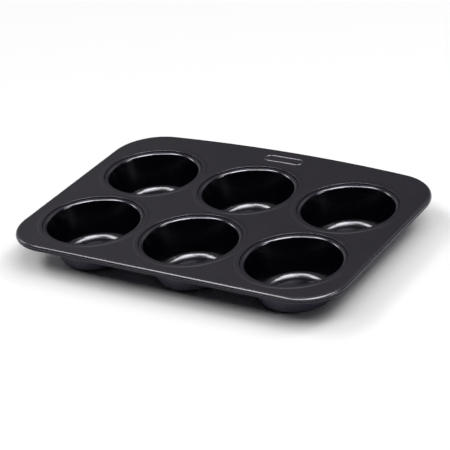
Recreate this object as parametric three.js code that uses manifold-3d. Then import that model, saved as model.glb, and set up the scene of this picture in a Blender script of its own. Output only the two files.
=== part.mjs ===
import * as THREE from 'three';
import { mergeVertices } from 'three/addons/utils/BufferGeometryUtils.js';
import Module from 'manifold-3d';

// Six-cup muffin pan in black coated steel. A pressed frame sheet, its edge curled over a wire,
// carries six drawn cups whose flanges lie in sunk seats round the holes of the frame.
// Millimetres, +Z up. The origin is on the resting plane, under the middle of the pan.

// Sheet steel, one gauge for the frame and the cups
const SHEET = 0.6;
const PAN_HEIGHT = 29.8;           // resting plane to the top of the frame sheet

// Cups, sized on their outside face
const COLUMNS = ['left', 'middle', 'right'];
const ROWS = ['front', 'back'];
const CUP_BASE_RADIUS = 26.5;      // where the wall would meet the base
const CUP_BASE_BEND = 6.5;         // rounding between base and wall
const CUP_MOUTH_RADIUS = 35.4;     // where the wall would meet the underside of the flange
const CUP_LIP_BEND = 1.3;          // rounding between wall and flange, on the underside
const CUP_FLANGE = 2.3;            // mouth to the edge of the flange

// Sunk seats in the frame: a low collar round each hole, then a step down to a ledge
const SEAT_STEP = 0.6;             // top of the frame sheet down to the top of the flange
const SEAT_CLEARANCE = 0.3;        // round the flange and round the cup wall
const COLLAR_WIDTH = 3.7;          // seat to the foot of the collar
const COLLAR_FLANK = 1.4;          // width of the collar's outer slope
const COLLAR_RISE = 0.2;           // top of the frame sheet up to the top of the collar
const COLLAR_LAP = 0.2;            // flat strip that joins the collar to the frame sheet

// Frame sheet, measured from the feet of the collars
const COLLAR_WEB = 0.6;            // flat land between neighbouring collars, along and across
const END_MARGIN = 9.7;            // to the left and right edges of the rim
const FRONT_MARGIN = 8.4;          // to the straight front edge of the rim
const BACK_MARGIN = 26.6;          // to the middle of the bowed back edge of the rim
const BACK_BOW = 10.2;             // rise of the back edge's arc over the length of the pan
const FRONT_CORNER_RADIUS = 33.3;
const BACK_CORNER_RADIUS = 37.9;

// Rolled rim
const WIRE_RADIUS = 1.6;
const WIRE_CLEARANCE = 0.3;        // between wire and curl
const CURL_RISE = 0.4;             // how far the curl's end rises past the middle of the wire
const RIM_LAP = 2;                 // flat strip that joins the curl to the frame sheet
const SEAM_LAP = 1;                // overlap of the front and back halves of a swept rim

// Raised oval bead pressed in the back margin
const BEAD_LENGTH = 33.5;
const BEAD_WIDTH = 9.8;
const BEAD_LINE = 1.2;             // width of the raised line
const BEAD_RISE = 0.4;
const BEAD_INSET = 15.5;           // middle of the bead to the middle of the back edge
const BEAD_OFFSET = 2.2;           // middle of the bead to the right of the pan's middle

// Fineness of the round shapes
const CUP_FACETS = 32;
const CORNER_STEPS = 10;
const BEND_STEPS = 2;
const BASE_BEND_STEPS = 3;
const WIRE_FACETS = 8;
const WELD = 0.002;                // points of joined solids that lie this close become one

const COATING = { color: 0x1d1c1f, roughness: 0.38, metalness: 0 };
const BARE_WIRE = { color: 0x8d9094, roughness: 0.4, metalness: 1 };

// Places that follow from the sizes above
const flangeTop = PAN_HEIGHT - SEAT_STEP;
const flangeUnderside = flangeTop - SHEET;
const flangeRadius = CUP_MOUTH_RADIUS + CUP_FLANGE;
const seatRadius = flangeRadius + SEAT_CLEARANCE;
const collarRadius = seatRadius + COLLAR_WIDTH;
const collarTop = PAN_HEIGHT + COLLAR_RISE;
const cupPitch = 2 * collarRadius + COLLAR_WEB;
const curlRadius = WIRE_RADIUS + WIRE_CLEARANCE + SHEET;
const rimHeight = PAN_HEIGHT - curlRadius;
const halfLength = cupPitch + collarRadius + END_MARGIN;
const backEdge = (FRONT_MARGIN + 2 * collarRadius + cupPitch + BACK_MARGIN) / 2;
const frontEdge = -backEdge;
const frontRow = frontEdge + FRONT_MARGIN + collarRadius;

const wasm = await Module();
wasm.setup();

// Bent sheet: a face is a line of corner points, each with its bend radius, and the sheet
// lies on the left of that line.
const at = (x, y, bend = 0, steps = BEND_STEPS) => ({ point: new THREE.Vector2(x, y), bend, steps });
const heading = (from, to) => to.point.clone().sub(from.point).normalize();
const leftOf = (direction) => new THREE.Vector2(-direction.y, direction.x);

function roundedLine(corners) {
  const points = [];
  corners.forEach((corner, i) => {
    const { point, bend, steps } = corner;
    if (i === 0 || i === corners.length - 1 || bend === 0) {
      points.push(point);
      return;
    }
    const inward = heading(corners[i - 1], corner);
    const onward = heading(corner, corners[i + 1]);
    const turn = Math.atan2(inward.cross(onward), inward.dot(onward));
    const start = point.clone().addScaledVector(inward, -bend * Math.tan(Math.abs(turn) / 2));
    const centre = start.clone().addScaledVector(leftOf(inward), Math.sign(turn) * bend);
    for (let k = 0; k <= steps; k++) {
      points.push(start.clone().rotateAround(centre, (turn * k) / steps));
    }
  });
  return points;
}

function movedLeft(corners, distance) {
  return corners.map((corner, i) => {
    const inward = heading(corners[Math.max(i - 1, 0)], corners[Math.max(i, 1)]);
    const onward = i < corners.length - 1 ? heading(corner, corners[i + 1]) : inward;
    const normal = leftOf(inward).add(leftOf(onward));
    const shift = (2 * distance) / normal.lengthSq();
    const bend = corner.bend && corner.bend - Math.sign(inward.cross(onward)) * distance;
    return { ...corner, point: corner.point.clone().addScaledVector(normal, shift), bend };
  });
}

function bentSheet(corners) {
  return [...roundedLine(corners), ...roundedLine(movedLeft(corners, SHEET)).reverse()];
}

// Solids
function revolve(section) {
  return new THREE.LatheGeometry(section, CUP_FACETS).rotateX(Math.PI / 2);
}

function merged(geometry) {
  geometry.deleteAttribute('normal');
  geometry.deleteAttribute('uv');
  return mergeVertices(geometry);
}

function union(geometries) {
  const solids = geometries.map((geometry) => {
    const { attributes, index } = merged(geometry);
    const mesh = { numProp: 3, vertProperties: attributes.position.array, triVerts: new Uint32Array(index.array) };
    return new wasm.Manifold(new wasm.Mesh(mesh));
  });
  const joined = solids.reduce((whole, solid) => whole.add(solid));
  const { vertProperties, triVerts } = joined.asOriginal().simplify(WELD).getMesh();
  const geometry = new THREE.BufferGeometry();
  geometry.setAttribute('position', new THREE.BufferAttribute(vertProperties, 3));
  geometry.setIndex(new THREE.BufferAttribute(triVerts, 1));
  return geometry;
}

// Outline of the pan, moved inwards: straight front and sides, round corners, bowed back
const bowRadius = (halfLength ** 2 + BACK_BOW ** 2) / (2 * BACK_BOW);
const bowCentre = backEdge - bowRadius;
const frontCorner = new THREE.Vector2(halfLength - FRONT_CORNER_RADIUS, frontEdge + FRONT_CORNER_RADIUS);
const backCornerReach = halfLength - BACK_CORNER_RADIUS;
const backCornerRise = Math.sqrt((bowRadius - BACK_CORNER_RADIUS) ** 2 - backCornerReach ** 2);
const backCorner = new THREE.Vector2(backCornerReach, bowCentre + backCornerRise);
const bowStart = Math.atan2(backCornerRise, backCornerReach);
const seam = (frontCorner.y + backCorner.y) / 2;

function arc(x, y, radius, from, to) {
  return new THREE.EllipseCurve(x, y, radius, radius, from, to).getPoints(CORNER_STEPS);
}

function frontRun(inset) {
  const radius = FRONT_CORNER_RADIUS - inset;
  return [
    ...arc(-frontCorner.x, frontCorner.y, radius, Math.PI, 1.5 * Math.PI),
    ...arc(frontCorner.x, frontCorner.y, radius, 1.5 * Math.PI, 2 * Math.PI),
  ];
}

function backRun(inset) {
  const radius = BACK_CORNER_RADIUS - inset;
  return [
    ...arc(backCorner.x, backCorner.y, radius, 0, bowStart),
    ...arc(0, bowCentre, bowRadius - inset, bowStart, Math.PI - bowStart).slice(1),
    ...arc(-backCorner.x, backCorner.y, radius, Math.PI - bowStart, Math.PI).slice(1),
  ];
}

// Level curve from station to station, so that a straight edge is one step
class RimCurve extends THREE.Curve {
  constructor(points, height) {
    super();
    this.stations = points.map(({ x, y }) => new THREE.Vector3(x, y, height));
    this.steps = points.length - 1;
  }

  getPointAt(u) {
    return this.stations[Math.round(u * this.steps)].clone();
  }

  getTangentAt(u) {
    const i = Math.round(u * this.steps);
    const before = this.stations[Math.max(i - 1, 0)];
    const after = this.stations[Math.min(i + 1, this.steps)];
    return after.clone().sub(before).normalize();
  }
}

// A section swept round the rim, in two halves that overlap on the straight sides.
// Its X points down and its Y inwards, from the middle of the wire.
function rimHalves(section, curveSegments) {
  const side = halfLength - curlRadius;
  const end = (x, y) => new THREE.Vector2(x, y);
  const front = [end(-side, seam + SEAM_LAP), ...frontRun(curlRadius), end(side, seam + SEAM_LAP)];
  const back = [end(side, seam - SEAM_LAP), ...backRun(curlRadius), end(-side, seam - SEAM_LAP)];
  return [front, back].map((points) => {
    const extrudePath = new RimCurve(points, rimHeight);
    return new THREE.ExtrudeGeometry(section, { steps: extrudePath.steps, extrudePath, curveSegments });
  });
}

// Frame sheet: flat plate with six holes
const cupPlaces = ROWS.flatMap((row, j) => COLUMNS.map((column, i) => ({
  name: `cup_${row}_${column}`,
  x: (i - (COLUMNS.length - 1) / 2) * cupPitch,
  y: frontRow + j * cupPitch,
})));

function plate() {
  const inset = curlRadius + RIM_LAP / 2;
  const shape = new THREE.Shape([...frontRun(inset), ...backRun(inset)]);
  shape.holes = cupPlaces.map(({ x, y }) => (
    new THREE.Path().absarc(x, y, collarRadius + COLLAR_LAP / 2, 0, 2 * Math.PI)
  ));
  const extrude = { depth: SHEET, bevelEnabled: false, curveSegments: CUP_FACETS / 2 };
  return new THREE.ExtrudeGeometry(shape, extrude).translate(0, 0, PAN_HEIGHT - SHEET);
}

// Frame sheet: collar and sunk seat round one hole, along the top face from the plate in to the ledge
const wallSlope = Math.atan2(flangeUnderside, CUP_MOUTH_RADIUS - CUP_BASE_RADIUS);
const lipReach = CUP_LIP_BEND * Math.tan(wallSlope / 2);

function seat({ x, y }) {
  const section = bentSheet([
    at(collarRadius + COLLAR_LAP, PAN_HEIGHT),
    at(collarRadius, PAN_HEIGHT),
    at(collarRadius - COLLAR_FLANK, collarTop),
    at(seatRadius, collarTop),
    at(seatRadius, flangeUnderside),
    at(CUP_MOUTH_RADIUS + lipReach + SEAT_CLEARANCE, flangeUnderside),
  ]);
  return revolve([...section, section[0]]).translate(x, y, 0);
}

// Frame sheet: the edge curled round the wire, from its hidden end outwards, up and over to the plate
function curlSection() {
  const face = bentSheet([
    at(-curlRadius, CURL_RISE),
    at(-curlRadius, -curlRadius, curlRadius),
    at(curlRadius, -curlRadius, curlRadius),
    at(curlRadius, curlRadius, curlRadius),
    at(-RIM_LAP, curlRadius),
  ]);
  return new THREE.Shape(face.map(({ x, y }) => new THREE.Vector2(-y, -x)));
}

// Frame sheet: raised oval bead
function stadium(shape, length, width) {
  const end = (length - width) / 2;
  shape.absarc(end, 0, width / 2, -Math.PI / 2, Math.PI / 2);
  shape.absarc(-end, 0, width / 2, Math.PI / 2, 1.5 * Math.PI);
  return shape;
}

function ovalBead() {
  const line = stadium(new THREE.Shape(), BEAD_LENGTH, BEAD_WIDTH);
  line.holes = [stadium(new THREE.Path(), BEAD_LENGTH - 2 * BEAD_LINE, BEAD_WIDTH - 2 * BEAD_LINE)];
  const depth = SHEET / 2 + BEAD_RISE;
  const bead = new THREE.ExtrudeGeometry(line, { depth, bevelEnabled: false, curveSegments: 4 });
  return bead.translate(BEAD_OFFSET, backEdge - BEAD_INSET, PAN_HEIGHT - SHEET / 2);
}

function frameSheet() {
  return union([plate(), ...cupPlaces.map(seat), ...rimHalves(curlSection()), ovalBead()]);
}

// Rim wire: round wire, bent to the outline and welded end to end
function rimWire() {
  const round = new THREE.Shape().absarc(0, 0, WIRE_RADIUS, 0, 2 * Math.PI);
  return union(rimHalves(round, WIRE_FACETS / 2));
}

// Cup: drawn from a disc, from the middle of its base out and up to the edge of its flange
function cup() {
  return revolve(bentSheet([
    at(0, 0),
    at(CUP_BASE_RADIUS, 0, CUP_BASE_BEND, BASE_BEND_STEPS),
    at(CUP_MOUTH_RADIUS, flangeUnderside, CUP_LIP_BEND),
    at(flangeRadius, flangeUnderside),
  ]));
}

// Assembly
function piece(name, geometry, look) {
  const mesh = new THREE.Mesh(geometry, new THREE.MeshStandardMaterial(look));
  mesh.name = name;
  return mesh;
}

const pan = new THREE.Group();
pan.name = 'muffin_pan';
pan.add(piece('frame_sheet', frameSheet(), COATING));
pan.add(piece('rim_wire', rimWire(), BARE_WIRE));
cupPlaces.forEach(({ name, x, y }) => {
  const mesh = piece(name, cup(), COATING);
  mesh.position.set(x, y, 0);
  pan.add(mesh);
});

export default pan;
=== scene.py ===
import math

import bmesh
import bpy
from mathutils import Matrix, Vector


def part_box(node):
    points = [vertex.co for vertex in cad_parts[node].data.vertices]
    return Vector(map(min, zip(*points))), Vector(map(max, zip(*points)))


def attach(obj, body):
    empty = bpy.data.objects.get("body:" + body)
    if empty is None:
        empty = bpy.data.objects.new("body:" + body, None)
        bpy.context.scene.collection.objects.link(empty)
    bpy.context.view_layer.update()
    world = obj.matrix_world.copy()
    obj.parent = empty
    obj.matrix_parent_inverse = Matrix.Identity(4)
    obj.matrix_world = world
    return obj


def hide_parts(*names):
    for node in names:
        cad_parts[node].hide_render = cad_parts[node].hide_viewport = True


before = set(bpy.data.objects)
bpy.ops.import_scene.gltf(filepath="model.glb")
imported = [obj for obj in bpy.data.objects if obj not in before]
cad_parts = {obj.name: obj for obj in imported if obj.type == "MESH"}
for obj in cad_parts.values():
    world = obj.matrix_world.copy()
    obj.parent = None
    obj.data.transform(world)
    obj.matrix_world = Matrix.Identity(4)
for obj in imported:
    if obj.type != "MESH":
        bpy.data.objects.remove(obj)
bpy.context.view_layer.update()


# Frame sheet
# One pressing of thin steel sheet: a flat top with six holes, each with a low collar and a sunk ledge
# for a cup, a small raised oval at the back, and the edge curled under round a wire. Coated black.
MM = 0.001
SHEET = 0.6 * MM
SEAT_CLEARANCE = 0.3 * MM
LEDGE_REACH = 1.35 * MM
COLLAR_WIDTH = 3.7 * MM
COLLAR_FLANK = 1 * MM
COLLAR_RISE = 0.2 * MM
COLLAR_BEND = 3 * MM
COLLAR_LAND = 0.28 * MM
FRONT_CORNER_RADIUS = 33.3 * MM
BACK_CORNER_RADIUS = 37.9 * MM
BACK_BOW = 10.2 * MM
CURL_RISE = 0.4 * MM
BEAD_LENGTH = 33.5 * MM
BEAD_WIDTH = 9.8 * MM
BEAD_LINE = 1.2 * MM
BEAD_RISE = 0.4 * MM
BEAD_INSET = 15.5 * MM
BEAD_OFFSET = 2.2 * MM
CUT_EDGE_ROUNDING = 0.28 * MM
CUT_EDGE_ANGLE = math.radians(60)
CUT_EDGE_STEPS = 4
WELD_DISTANCE = 0.002 * MM
BOX_MARGIN = 0.01 * MM
CORNER_STEPS = 24
BOW_STEPS = 48
ROLL_STEPS = 20
BEND_STEPS = 10
ROUND_STEPS = 128
SHARP_ANGLE = math.radians(38)
FLAT_NORMAL = 0.99999
# Faces whose normal rises less than this take the last material; on the frame that is a darker lacquer, as
# painted shade.
UNDER_SLOPE = 0.26
UP = Vector((0, 0, 1))
DOWN = Vector((0, 0, -1))

sheet_low, sheet_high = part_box("frame_sheet")
plate_top = sheet_high.z - BEAD_RISE
curl_radius = (plate_top - sheet_low.z) / 2
curl_middle = plate_top - curl_radius
half_length = sheet_high.x - BOX_MARGIN
front_edge = sheet_low.y + BOX_MARGIN
back_edge = sheet_high.y - BOX_MARGIN

cup_names = [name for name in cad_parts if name.startswith("cup_")]
cup_boxes = {name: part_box(name) for name in cup_names}
cup_middles = {name: (low + high) / 2 for name, (low, high) in cup_boxes.items()}
cup_low, cup_high = cup_boxes[cup_names[0]]
flange_radius = (cup_high.x - cup_low.x) / 2
flange_top = cup_high.z
flange_underside = flange_top - SHEET


def draw_line(bm, start, x, y):
    end = bm.verts.new((x, y, start.co.z))
    bm.edges.new((start, end))
    return end


def draw_arc(bm, start, x, y, angle, steps):
    turned = bmesh.ops.spin(
        bm, geom=[start], cent=(x, y, start.co.z), axis=UP, angle=angle, steps=steps)
    return next(item for item in turned["geom_last"] if isinstance(item, bmesh.types.BMVert))


def pan_outline(bm, inset, height):
    """A face with the pan's outline, moved inwards: straight front and sides, round corners, bowed back."""
    bow_radius = (half_length ** 2 + BACK_BOW ** 2) / (2 * BACK_BOW)
    bow_middle = back_edge - bow_radius
    front_x = half_length - FRONT_CORNER_RADIUS
    front_y = front_edge + FRONT_CORNER_RADIUS
    back_x = half_length - BACK_CORNER_RADIUS
    back_rise = math.sqrt((bow_radius - BACK_CORNER_RADIUS) ** 2 - back_x ** 2)
    back_y = bow_middle + back_rise
    bow_start = math.atan2(back_rise, back_x)
    side = half_length - inset
    first = bm.verts.new((-side, front_y, height))
    pen = draw_arc(bm, first, -front_x, front_y, math.pi / 2, CORNER_STEPS)
    pen = draw_line(bm, pen, front_x, pen.co.y)
    pen = draw_arc(bm, pen, front_x, front_y, math.pi / 2, CORNER_STEPS)
    pen = draw_line(bm, pen, side, back_y)
    pen = draw_arc(bm, pen, back_x, back_y, bow_start, CORNER_STEPS)
    pen = draw_arc(bm, pen, 0, bow_middle, math.pi - 2 * bow_start, BOW_STEPS)
    pen = draw_arc(bm, pen, -back_x, back_y, bow_start, CORNER_STEPS)
    bm.edges.new((pen, first))
    return fill_loop(bm, first)


def fill_loop(bm, first):
    """A face across the closed line of edges that the vertex is on."""
    loop = [first]
    edge = first.link_edges[0]
    vert = edge.other_vert(first)
    while vert is not first:
        loop.append(vert)
        edge = next(e for e in vert.link_edges if e is not edge)
        vert = edge.other_vert(vert)
    return bm.faces.new(loop)


def face_towards(face, direction):
    face.normal_update()
    if face.normal.dot(direction) < 0:
        face.normal_flip()


def roll_in(bm, face, radius, turn, steps):
    """Rolls the edge of a face round, in from the outermost line of a round bead of that radius."""
    for step in range(steps):
        before = turn * step / steps
        after = turn * (step + 1) / steps
        inward = radius * (math.cos(before) - math.cos(after))
        onward = radius * (math.sin(after) - math.sin(before))
        bmesh.ops.inset_region(
            bm, faces=[face], thickness=inward, depth=onward, use_boundary=True, use_even_offset=True)


def section_line(bm, middle, corners):
    """A line of corners (radius from the cup's axis, height, rounding), each rounded off."""
    verts = [bm.verts.new((middle.x + radius, middle.y, height)) for radius, height, _ in corners]
    for start, end in zip(verts, verts[1:]):
        bm.edges.new((start, end))
    known = set(bm.verts) - set(verts)
    points = [Vector((radius, height)) for radius, height, _ in corners]
    for i in range(1, len(corners) - 1):
        rounding = corners[i][2]
        if rounding:
            bend = (points[i] - points[i - 1]).angle(points[i + 1] - points[i])
            bmesh.ops.bevel(
                bm, geom=[verts[i]], offset=rounding * math.tan(bend / 2), offset_type="OFFSET",
                affect="VERTICES", segments=BEND_STEPS, profile=0.5, material=-1)
    return [vert for vert in bm.verts if vert not in known]


def turn_round(bm, middle, verts):
    edges = list({edge for vert in verts for edge in vert.link_edges})
    bmesh.ops.spin(
        bm, geom=verts + edges, cent=middle, axis=UP, angle=2 * math.pi,
        steps=ROUND_STEPS, use_merge=True)


def add_gauge(bm, place, outwards):
    """Thickens the drawn face of the sheet, away from the side that is outwards at that place."""
    bmesh.ops.remove_doubles(bm, verts=bm.verts, dist=WELD_DISTANCE)
    bmesh.ops.recalc_face_normals(bm, faces=bm.faces)
    known = min(bm.faces, key=lambda face: (face.calc_center_bounds() - place).length)
    if known.normal.dot(outwards) < 0:
        bmesh.ops.reverse_faces(bm, faces=bm.faces)
    bmesh.ops.solidify(bm, geom=bm.faces, thickness=SHEET)
    bm.normal_update()
    cut_edges = [edge for edge in bm.edges if edge.calc_face_angle(0) > CUT_EDGE_ANGLE]
    bmesh.ops.bevel(
        bm, geom=cut_edges, offset=CUT_EDGE_ROUNDING, offset_type="OFFSET",
        affect="EDGES", segments=CUT_EDGE_STEPS, profile=0.5, material=-1)


def finish_mesh(bm, name, materials):
    """An object, creased at sharp edges and round flat land. Steep and lower faces get the last material."""
    bm.normal_update()
    for edge in bm.edges:
        kinds = {abs(face.normal.z) > FLAT_NORMAL for face in edge.link_faces}
        edge.smooth = len(kinds) == 1 and edge.calc_face_angle(0) < SHARP_ANGLE
    for face in bm.faces:
        face.smooth = True
        if face.normal.z < UNDER_SLOPE:
            face.material_index = len(materials) - 1
    mesh = bpy.data.meshes.new(name)
    bm.to_mesh(mesh)
    bm.free()
    for material in materials:
        mesh.materials.append(material)
    piece = bpy.data.objects.new(name, mesh)
    bpy.context.scene.collection.objects.link(piece)
    return piece


MOTTLE_DETAIL = 4
PEEL_DETAIL = 2
PEEL_DEPTH = 0.1 * MM
FILM_DARK = (0.0022, 0.0010, 0.0055)
FILM_LIGHT = (0.0036, 0.0018, 0.0085)
FILM_TINT = (0.955, 0.925, 1, 1)
# Painted shade: the frame's lacquer is darker than the cups', so the curl's lower side and the underside look
# shaded.
FRAME_SHADE_LACQUER_DARK = (0.014, 0.013, 0.019)
FRAME_SHADE_LACQUER_LIGHT = (0.020, 0.019, 0.027)


def node_link(material, start, end):
    material.node_tree.links.new(start, end)


def mottled(material, scale, dark, light, smooth, rough):
    """Colour and gloss that vary gently over the surface, between two colours and two roughnesses."""
    nodes = material.node_tree.nodes
    shader = nodes["Principled BSDF"]
    mottle = nodes.new("ShaderNodeTexNoise")
    mottle.inputs["Scale"].default_value = scale
    mottle.inputs["Detail"].default_value = MOTTLE_DETAIL
    node_link(material, nodes.new("ShaderNodeTexCoord").outputs["Object"], mottle.inputs["Vector"])
    gloss = nodes.new("ShaderNodeMapRange")
    gloss.inputs["To Min"].default_value = smooth
    gloss.inputs["To Max"].default_value = rough
    node_link(material, mottle.outputs["Fac"], gloss.inputs["Value"])
    node_link(material, gloss.outputs["Result"], shader.inputs["Roughness"])
    tone = nodes.new("ShaderNodeValToRGB")
    tone.color_ramp.elements[0].color = (*dark, 1)
    tone.color_ramp.elements[1].color = (*light, 1)
    node_link(material, mottle.outputs["Fac"], tone.inputs["Fac"])
    node_link(material, tone.outputs["Color"], shader.inputs["Base Color"])
    return shader


def orange_peel(material, scale, strength):
    """Fine waviness of a sprayed and baked film."""
    nodes = material.node_tree.nodes
    peel = nodes.new("ShaderNodeTexNoise")
    peel.inputs["Scale"].default_value = scale
    peel.inputs["Detail"].default_value = PEEL_DETAIL
    node_link(material, nodes.new("ShaderNodeTexCoord").outputs["Object"], peel.inputs["Vector"])
    relief = nodes.new("ShaderNodeBump")
    relief.inputs["Strength"].default_value = strength
    relief.inputs["Distance"].default_value = PEEL_DEPTH
    node_link(material, peel.outputs["Fac"], relief.inputs["Height"])
    node_link(material, relief.outputs["Normal"], nodes["Principled BSDF"].inputs["Normal"])


def non_stick(name, scale, dark, light, ior, smooth, rough):
    """Black non-stick film with a violet cast, for the upper and inner faces."""
    material = bpy.data.materials.new(name)
    material.use_nodes = True
    shader = mottled(material, scale, dark, light, smooth, rough)
    shader.inputs["IOR"].default_value = ior
    shader.inputs["Specular Tint"].default_value = FILM_TINT
    orange_peel(material, scale=700, strength=0.008)
    return material


def lacquer(name, scale, dark, light, ior):
    """Satin black lacquer, for the lower and outer faces; on the frame its darker colours are painted shade.
    """
    material = bpy.data.materials.new(name)
    material.use_nodes = True
    shader = mottled(material, scale, dark, light, smooth=0.38, rough=0.5)
    shader.inputs["IOR"].default_value = ior
    orange_peel(material, scale=900, strength=0.05)
    return material


sheet = bmesh.new()
top_face = pan_outline(sheet, 0, curl_middle)
face_towards(top_face, UP)
roll_in(sheet, top_face, curl_radius, math.pi / 2, ROLL_STEPS)
under_face = pan_outline(sheet, 0, curl_middle)
face_towards(under_face, DOWN)
roll_in(sheet, under_face, curl_radius, math.pi, 2 * ROLL_STEPS)
bmesh.ops.inset_region(sheet, faces=[under_face], depth=-CURL_RISE, use_boundary=True)
bmesh.ops.delete(sheet, geom=[top_face, under_face], context="FACES_ONLY")

seat_radius = flange_radius + SEAT_CLEARANCE
collar_radius = seat_radius + COLLAR_WIDTH
collar_top = plate_top + COLLAR_RISE
for middle in cup_middles.values():
    turn_round(sheet, middle, section_line(sheet, middle, [
        (collar_radius + COLLAR_LAND, plate_top, 0),
        (collar_radius, plate_top, COLLAR_BEND),
        (collar_radius - COLLAR_FLANK, collar_top, COLLAR_BEND),
        (seat_radius, collar_top, 0),
        (seat_radius, flange_underside, 0),
        (seat_radius - LEDGE_REACH, flange_underside, 0),
    ]))

bead_end = (BEAD_LENGTH - BEAD_WIDTH) / 2
bead_y = back_edge - BEAD_INSET
first = sheet.verts.new((BEAD_OFFSET + bead_end, bead_y - BEAD_WIDTH / 2, plate_top))
pen = draw_arc(sheet, first, BEAD_OFFSET + bead_end, bead_y, math.pi, CORNER_STEPS)
pen = draw_line(sheet, pen, BEAD_OFFSET - bead_end, pen.co.y)
pen = draw_arc(sheet, pen, BEAD_OFFSET - bead_end, bead_y, math.pi, CORNER_STEPS)
sheet.edges.new((pen, first))
bead_face = fill_loop(sheet, first)
face_towards(bead_face, UP)
for step in range(ROLL_STEPS):
    before = math.sin(math.pi * step / ROLL_STEPS) ** 2
    after = math.sin(math.pi * (step + 1) / ROLL_STEPS) ** 2
    bmesh.ops.inset_region(
        sheet, faces=[bead_face], thickness=BEAD_LINE / ROLL_STEPS, depth=BEAD_RISE * (after - before),
        use_boundary=True, use_even_offset=True)

open_edges = [edge for edge in sheet.edges
              if edge.is_boundary and all(abs(vert.co.z - plate_top) < WELD_DISTANCE for vert in edge.verts)]
bmesh.ops.triangle_fill(sheet, edges=open_edges, use_beauty=True, normal=UP)
add_gauge(sheet, Vector((BEAD_OFFSET, bead_y, plate_top)), UP)
# The frame's downward and sideways faces take the darker lacquer, painted shade under the curl.
frame_coats = [
    non_stick("frame_non_stick", scale=45, dark=FILM_DARK, light=FILM_LIGHT, ior=2.4, smooth=0.24, rough=0.3),
    lacquer("frame_painted_shade_lacquer", scale=60, dark=FRAME_SHADE_LACQUER_DARK, light=FRAME_SHADE_LACQUER_LIGHT, ior=1.2),
]
frame_sheet = finish_mesh(sheet, "pressed_frame_sheet", frame_coats)
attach(frame_sheet, "root")
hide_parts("frame_sheet")


# Rim wire
# Drawn steel wire, bent to the outline and butt welded, that stiffens the curled edge.
# It shows only from below, through the slit that the curl leaves open.
WIRE_DARK = (0.22, 0.22, 0.23)
WIRE_LIGHT = (0.42, 0.42, 0.43)

wire_low, wire_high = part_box("rim_wire")
wire_radius = (wire_high.z - wire_low.z) / 2
wire = bmesh.new()
for direction in (UP, DOWN):
    wire_face = pan_outline(wire, curl_radius - wire_radius, curl_middle)
    face_towards(wire_face, direction)
    roll_in(wire, wire_face, wire_radius, math.pi, 2 * ROLL_STEPS)
    bmesh.ops.delete(wire, geom=[wire_face], context="FACES_ONLY")
bmesh.ops.remove_doubles(wire, verts=wire.verts, dist=WELD_DISTANCE)
bmesh.ops.recalc_face_normals(wire, faces=wire.faces)


def drawn_wire(name):
    """Bare drawn steel with a patchy grey skin."""
    material = bpy.data.materials.new(name)
    material.use_nodes = True
    shader = mottled(material, scale=900, dark=WIRE_DARK, light=WIRE_LIGHT, smooth=0.3, rough=0.5)
    shader.inputs["Metallic"].default_value = 1
    return material


rim_wire = finish_mesh(wire, "rolled_in_rim_wire", [drawn_wire("wire_steel")])
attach(rim_wire, "root")
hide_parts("rim_wire")


# Cups
# Six cups drawn from steel discs: a rounded base, a tapered wall and a lip that runs out into a flat flange,
# which lies on the ledge of its seat. The black film is glossy; on the wall it is darker and reflects least,
# as painted shade.
CUP_BASE_RADIUS = 26.5 * MM
CUP_BASE_BEND = 6.5 * MM
CUP_MOUTH_RADIUS = 35.4 * MM
CUP_LIP_BEND = 1.6 * MM
WALL_SLOPE = 0.32
WALL_SHADE_COAT = 1
BASE_COAT = 2
# Painted shade: the wall's film is darker and far less reflective than the lip's, so the cup walls stay
# black.
WALL_SHADE_FILM_DARK = (0.0005, 0.0003, 0.0011)
WALL_SHADE_FILM_LIGHT = (0.0009, 0.0006, 0.0018)
BASE_FILM_DARK = (0.0009, 0.0006, 0.0018)
BASE_FILM_LIGHT = (0.0016, 0.0011, 0.0028)
CUP_LACQUER_DARK = (0.038, 0.036, 0.056)
CUP_LACQUER_LIGHT = (0.050, 0.047, 0.074)

cup_coats = [
    non_stick("cup_lip_non_stick", scale=60, dark=FILM_DARK, light=FILM_LIGHT,
              ior=2.5, smooth=0.14, rough=0.2),
    non_stick("cup_wall_shaded_non_stick", scale=60, dark=WALL_SHADE_FILM_DARK, light=WALL_SHADE_FILM_LIGHT,
              ior=1.35, smooth=0.17, rough=0.23),
    non_stick("cup_base_non_stick", scale=60, dark=BASE_FILM_DARK, light=BASE_FILM_LIGHT,
              ior=2.5, smooth=0.22, rough=0.28),
    lacquer("cup_lacquer", scale=80, dark=CUP_LACQUER_DARK, light=CUP_LACQUER_LIGHT, ior=1.4),
]
for name, middle in cup_middles.items():
    cup = bmesh.new()
    turn_round(cup, middle, section_line(cup, middle, [
        (0, 0, 0),
        (CUP_BASE_RADIUS, 0, CUP_BASE_BEND),
        (CUP_MOUTH_RADIUS, flange_underside, CUP_LIP_BEND),
        (flange_radius, flange_underside, 0),
    ]))
    add_gauge(cup, Vector((middle.x, middle.y, 0)), DOWN)
    cup.normal_update()
    for face in cup.faces:
        # The wall faces take the darker, dull film: painted shade inside the cup.
        if face.normal.z < WALL_SLOPE:
            face.material_index = WALL_SHADE_COAT
        elif face.calc_center_median().z < CUP_BASE_BEND:
            face.material_index = BASE_COAT
    cup_piece = finish_mesh(cup, "drawn_" + name, cup_coats)
    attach(cup_piece, "root")
    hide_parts(name)


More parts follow.
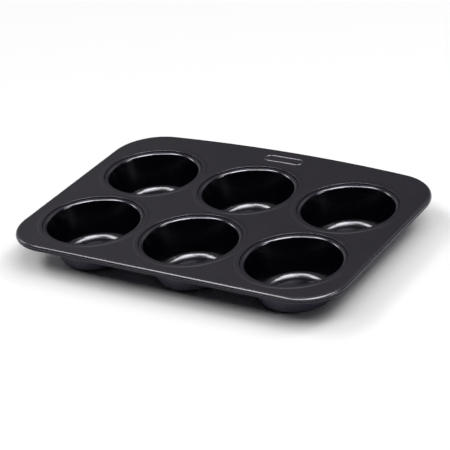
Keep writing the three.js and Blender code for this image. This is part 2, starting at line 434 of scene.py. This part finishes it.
# Studio
# A plain white floor, softboxes high round the front and right, one overhead and a low one on each side,
# and a dim room with three soft patches of light behind the pan.
FLOOR_SIZE = 12
FLOOR_WHITE = (1, 1, 1, 1)
floor_mesh = bmesh.new()
bmesh.ops.create_grid(floor_mesh, x_segments=1, y_segments=1, size=FLOOR_SIZE / 2)
floor_material = bpy.data.materials.new("white_floor")
floor_material.use_nodes = True
floor_shader = floor_material.node_tree.nodes["Principled BSDF"]
floor_shader.inputs["Base Color"].default_value = FLOOR_WHITE
floor_shader.inputs["Roughness"].default_value = 0.9
floor_shader.inputs["Specular IOR Level"].default_value = 0
floor = finish_mesh(floor_mesh, "studio_floor", [floor_material])

LAMP_DISTANCE = 7


def direction_to(azimuth, elevation):
    turn = math.radians(azimuth)
    rise = math.radians(elevation)
    return Vector((math.cos(rise) * math.cos(turn), math.cos(rise) * math.sin(turn), math.sin(rise)))


def softbox(name, azimuth, elevation, breadth, height, radiance):
    """A rectangular softbox that faces the pan from that direction, as many degrees wide and high."""
    light = bpy.data.lights.new(name, "AREA")
    light.shape = "RECTANGLE"
    light.size = 2 * LAMP_DISTANCE * math.tan(math.radians(breadth / 2))
    light.size_y = 2 * LAMP_DISTANCE * math.tan(math.radians(height / 2))
    light.energy = radiance * math.pi * light.size * light.size_y
    lamp = bpy.data.objects.new(name, light)
    lamp.location = LAMP_DISTANCE * direction_to(azimuth, elevation)
    lamp.rotation_euler = (-lamp.location).to_track_quat("-Z", "Y").to_euler()
    bpy.context.scene.collection.objects.link(lamp)


softbox("right_front_softbox", azimuth=325, elevation=54, breadth=32, height=22, radiance=6)
softbox("front_softbox", azimuth=268, elevation=53, breadth=30, height=14, radiance=5.6)
softbox("left_front_softbox", azimuth=212, elevation=58, breadth=28, height=14, radiance=5.6)
softbox("right_softbox", azimuth=17, elevation=58, breadth=20, height=14, radiance=5.6)
softbox("overhead_softbox", azimuth=325, elevation=74, breadth=30, height=18, radiance=2.4)
softbox("left_side_softbox", azimuth=182, elevation=27, breadth=14, height=22, radiance=2.6)
softbox("right_side_softbox", azimuth=5, elevation=20, breadth=14, height=12, radiance=3.4)

ROOM_DIMNESS = 0.004
ROOM_WHITE = (1, 1, 1, 1)
room = bpy.data.worlds.new("studio_room")
room.use_nodes = True
bpy.context.scene.world = room
room_nodes = room.node_tree.nodes
room_direction = room_nodes.new("ShaderNodeTexCoord").outputs["Generated"]
room_level = room_nodes.new("ShaderNodeValue").outputs["Value"]
room_level.default_value = ROOM_DIMNESS


def room_math(operation, *values):
    node = room_nodes.new("ShaderNodeMath")
    node.operation = operation
    for value, socket in zip(values, node.inputs):
        if isinstance(value, bpy.types.NodeSocket):
            room.node_tree.links.new(value, socket)
        else:
            socket.default_value = value
    return node.outputs["Value"]


def glow(level, azimuth, elevation, spread, strength):
    """Adds a soft patch to the room's light, brightest in one direction and fading all round it."""
    cosine = room_nodes.new("ShaderNodeVectorMath")
    cosine.operation = "DOT_PRODUCT"
    cosine.inputs[1].default_value = direction_to(azimuth, elevation)
    room.node_tree.links.new(room_direction, cosine.inputs[0])
    sharpness = 1 / math.radians(spread) ** 2
    falloff = room_math("EXPONENT", room_math("MULTIPLY_ADD", cosine.outputs["Value"], sharpness, -sharpness))
    return room_math("MULTIPLY_ADD", falloff, strength, level)


room_level = glow(room_level, azimuth=150, elevation=20, spread=17, strength=0.31)
room_level = glow(room_level, azimuth=75, elevation=32, spread=17, strength=0.34)
room_level = glow(room_level, azimuth=123, elevation=52, spread=6, strength=0.9)
room.node_tree.links.new(room_level, room_nodes["Background"].inputs["Strength"])
room_nodes["Background"].inputs["Color"].default_value = ROOM_WHITE


# Camera
# The photograph's own viewpoint: a camera to the right of the pan's front, a little above it, fitted to
# the six mouths and the outline of the pan.
VIEW_AZIMUTH = math.radians(32.779)
VIEW_ELEVATION = math.radians(27.449)
VIEW_ROLL = math.radians(-5.863)
VIEW_DISTANCE = 1391.1 * MM
VIEW_TARGET = Vector((12.86, -23.73, 29.8)) * MM
FOCAL_PIXELS = 1921.3
IMAGE_PIXELS = 450
SENSOR_WIDTH = 36

lens = bpy.data.cameras.new("photo_camera")
lens.sensor_width = SENSOR_WIDTH
lens.lens = SENSOR_WIDTH * FOCAL_PIXELS / IMAGE_PIXELS
camera = bpy.data.objects.new("photo_camera", lens)
bpy.context.scene.collection.objects.link(camera)
view_turn = (Matrix.Rotation(VIEW_AZIMUTH, 4, "Z") @ Matrix.Rotation(math.pi / 2 - VIEW_ELEVATION, 4, "X")
             @ Matrix.Rotation(VIEW_ROLL, 4, "Z"))
view_back = view_turn.to_3x3() @ UP
camera.matrix_world = Matrix.Translation(VIEW_TARGET + VIEW_DISTANCE * view_back) @ view_turn
bpy.context.scene.camera = camera
bpy.context.scene.view_settings.view_transform = "Standard"
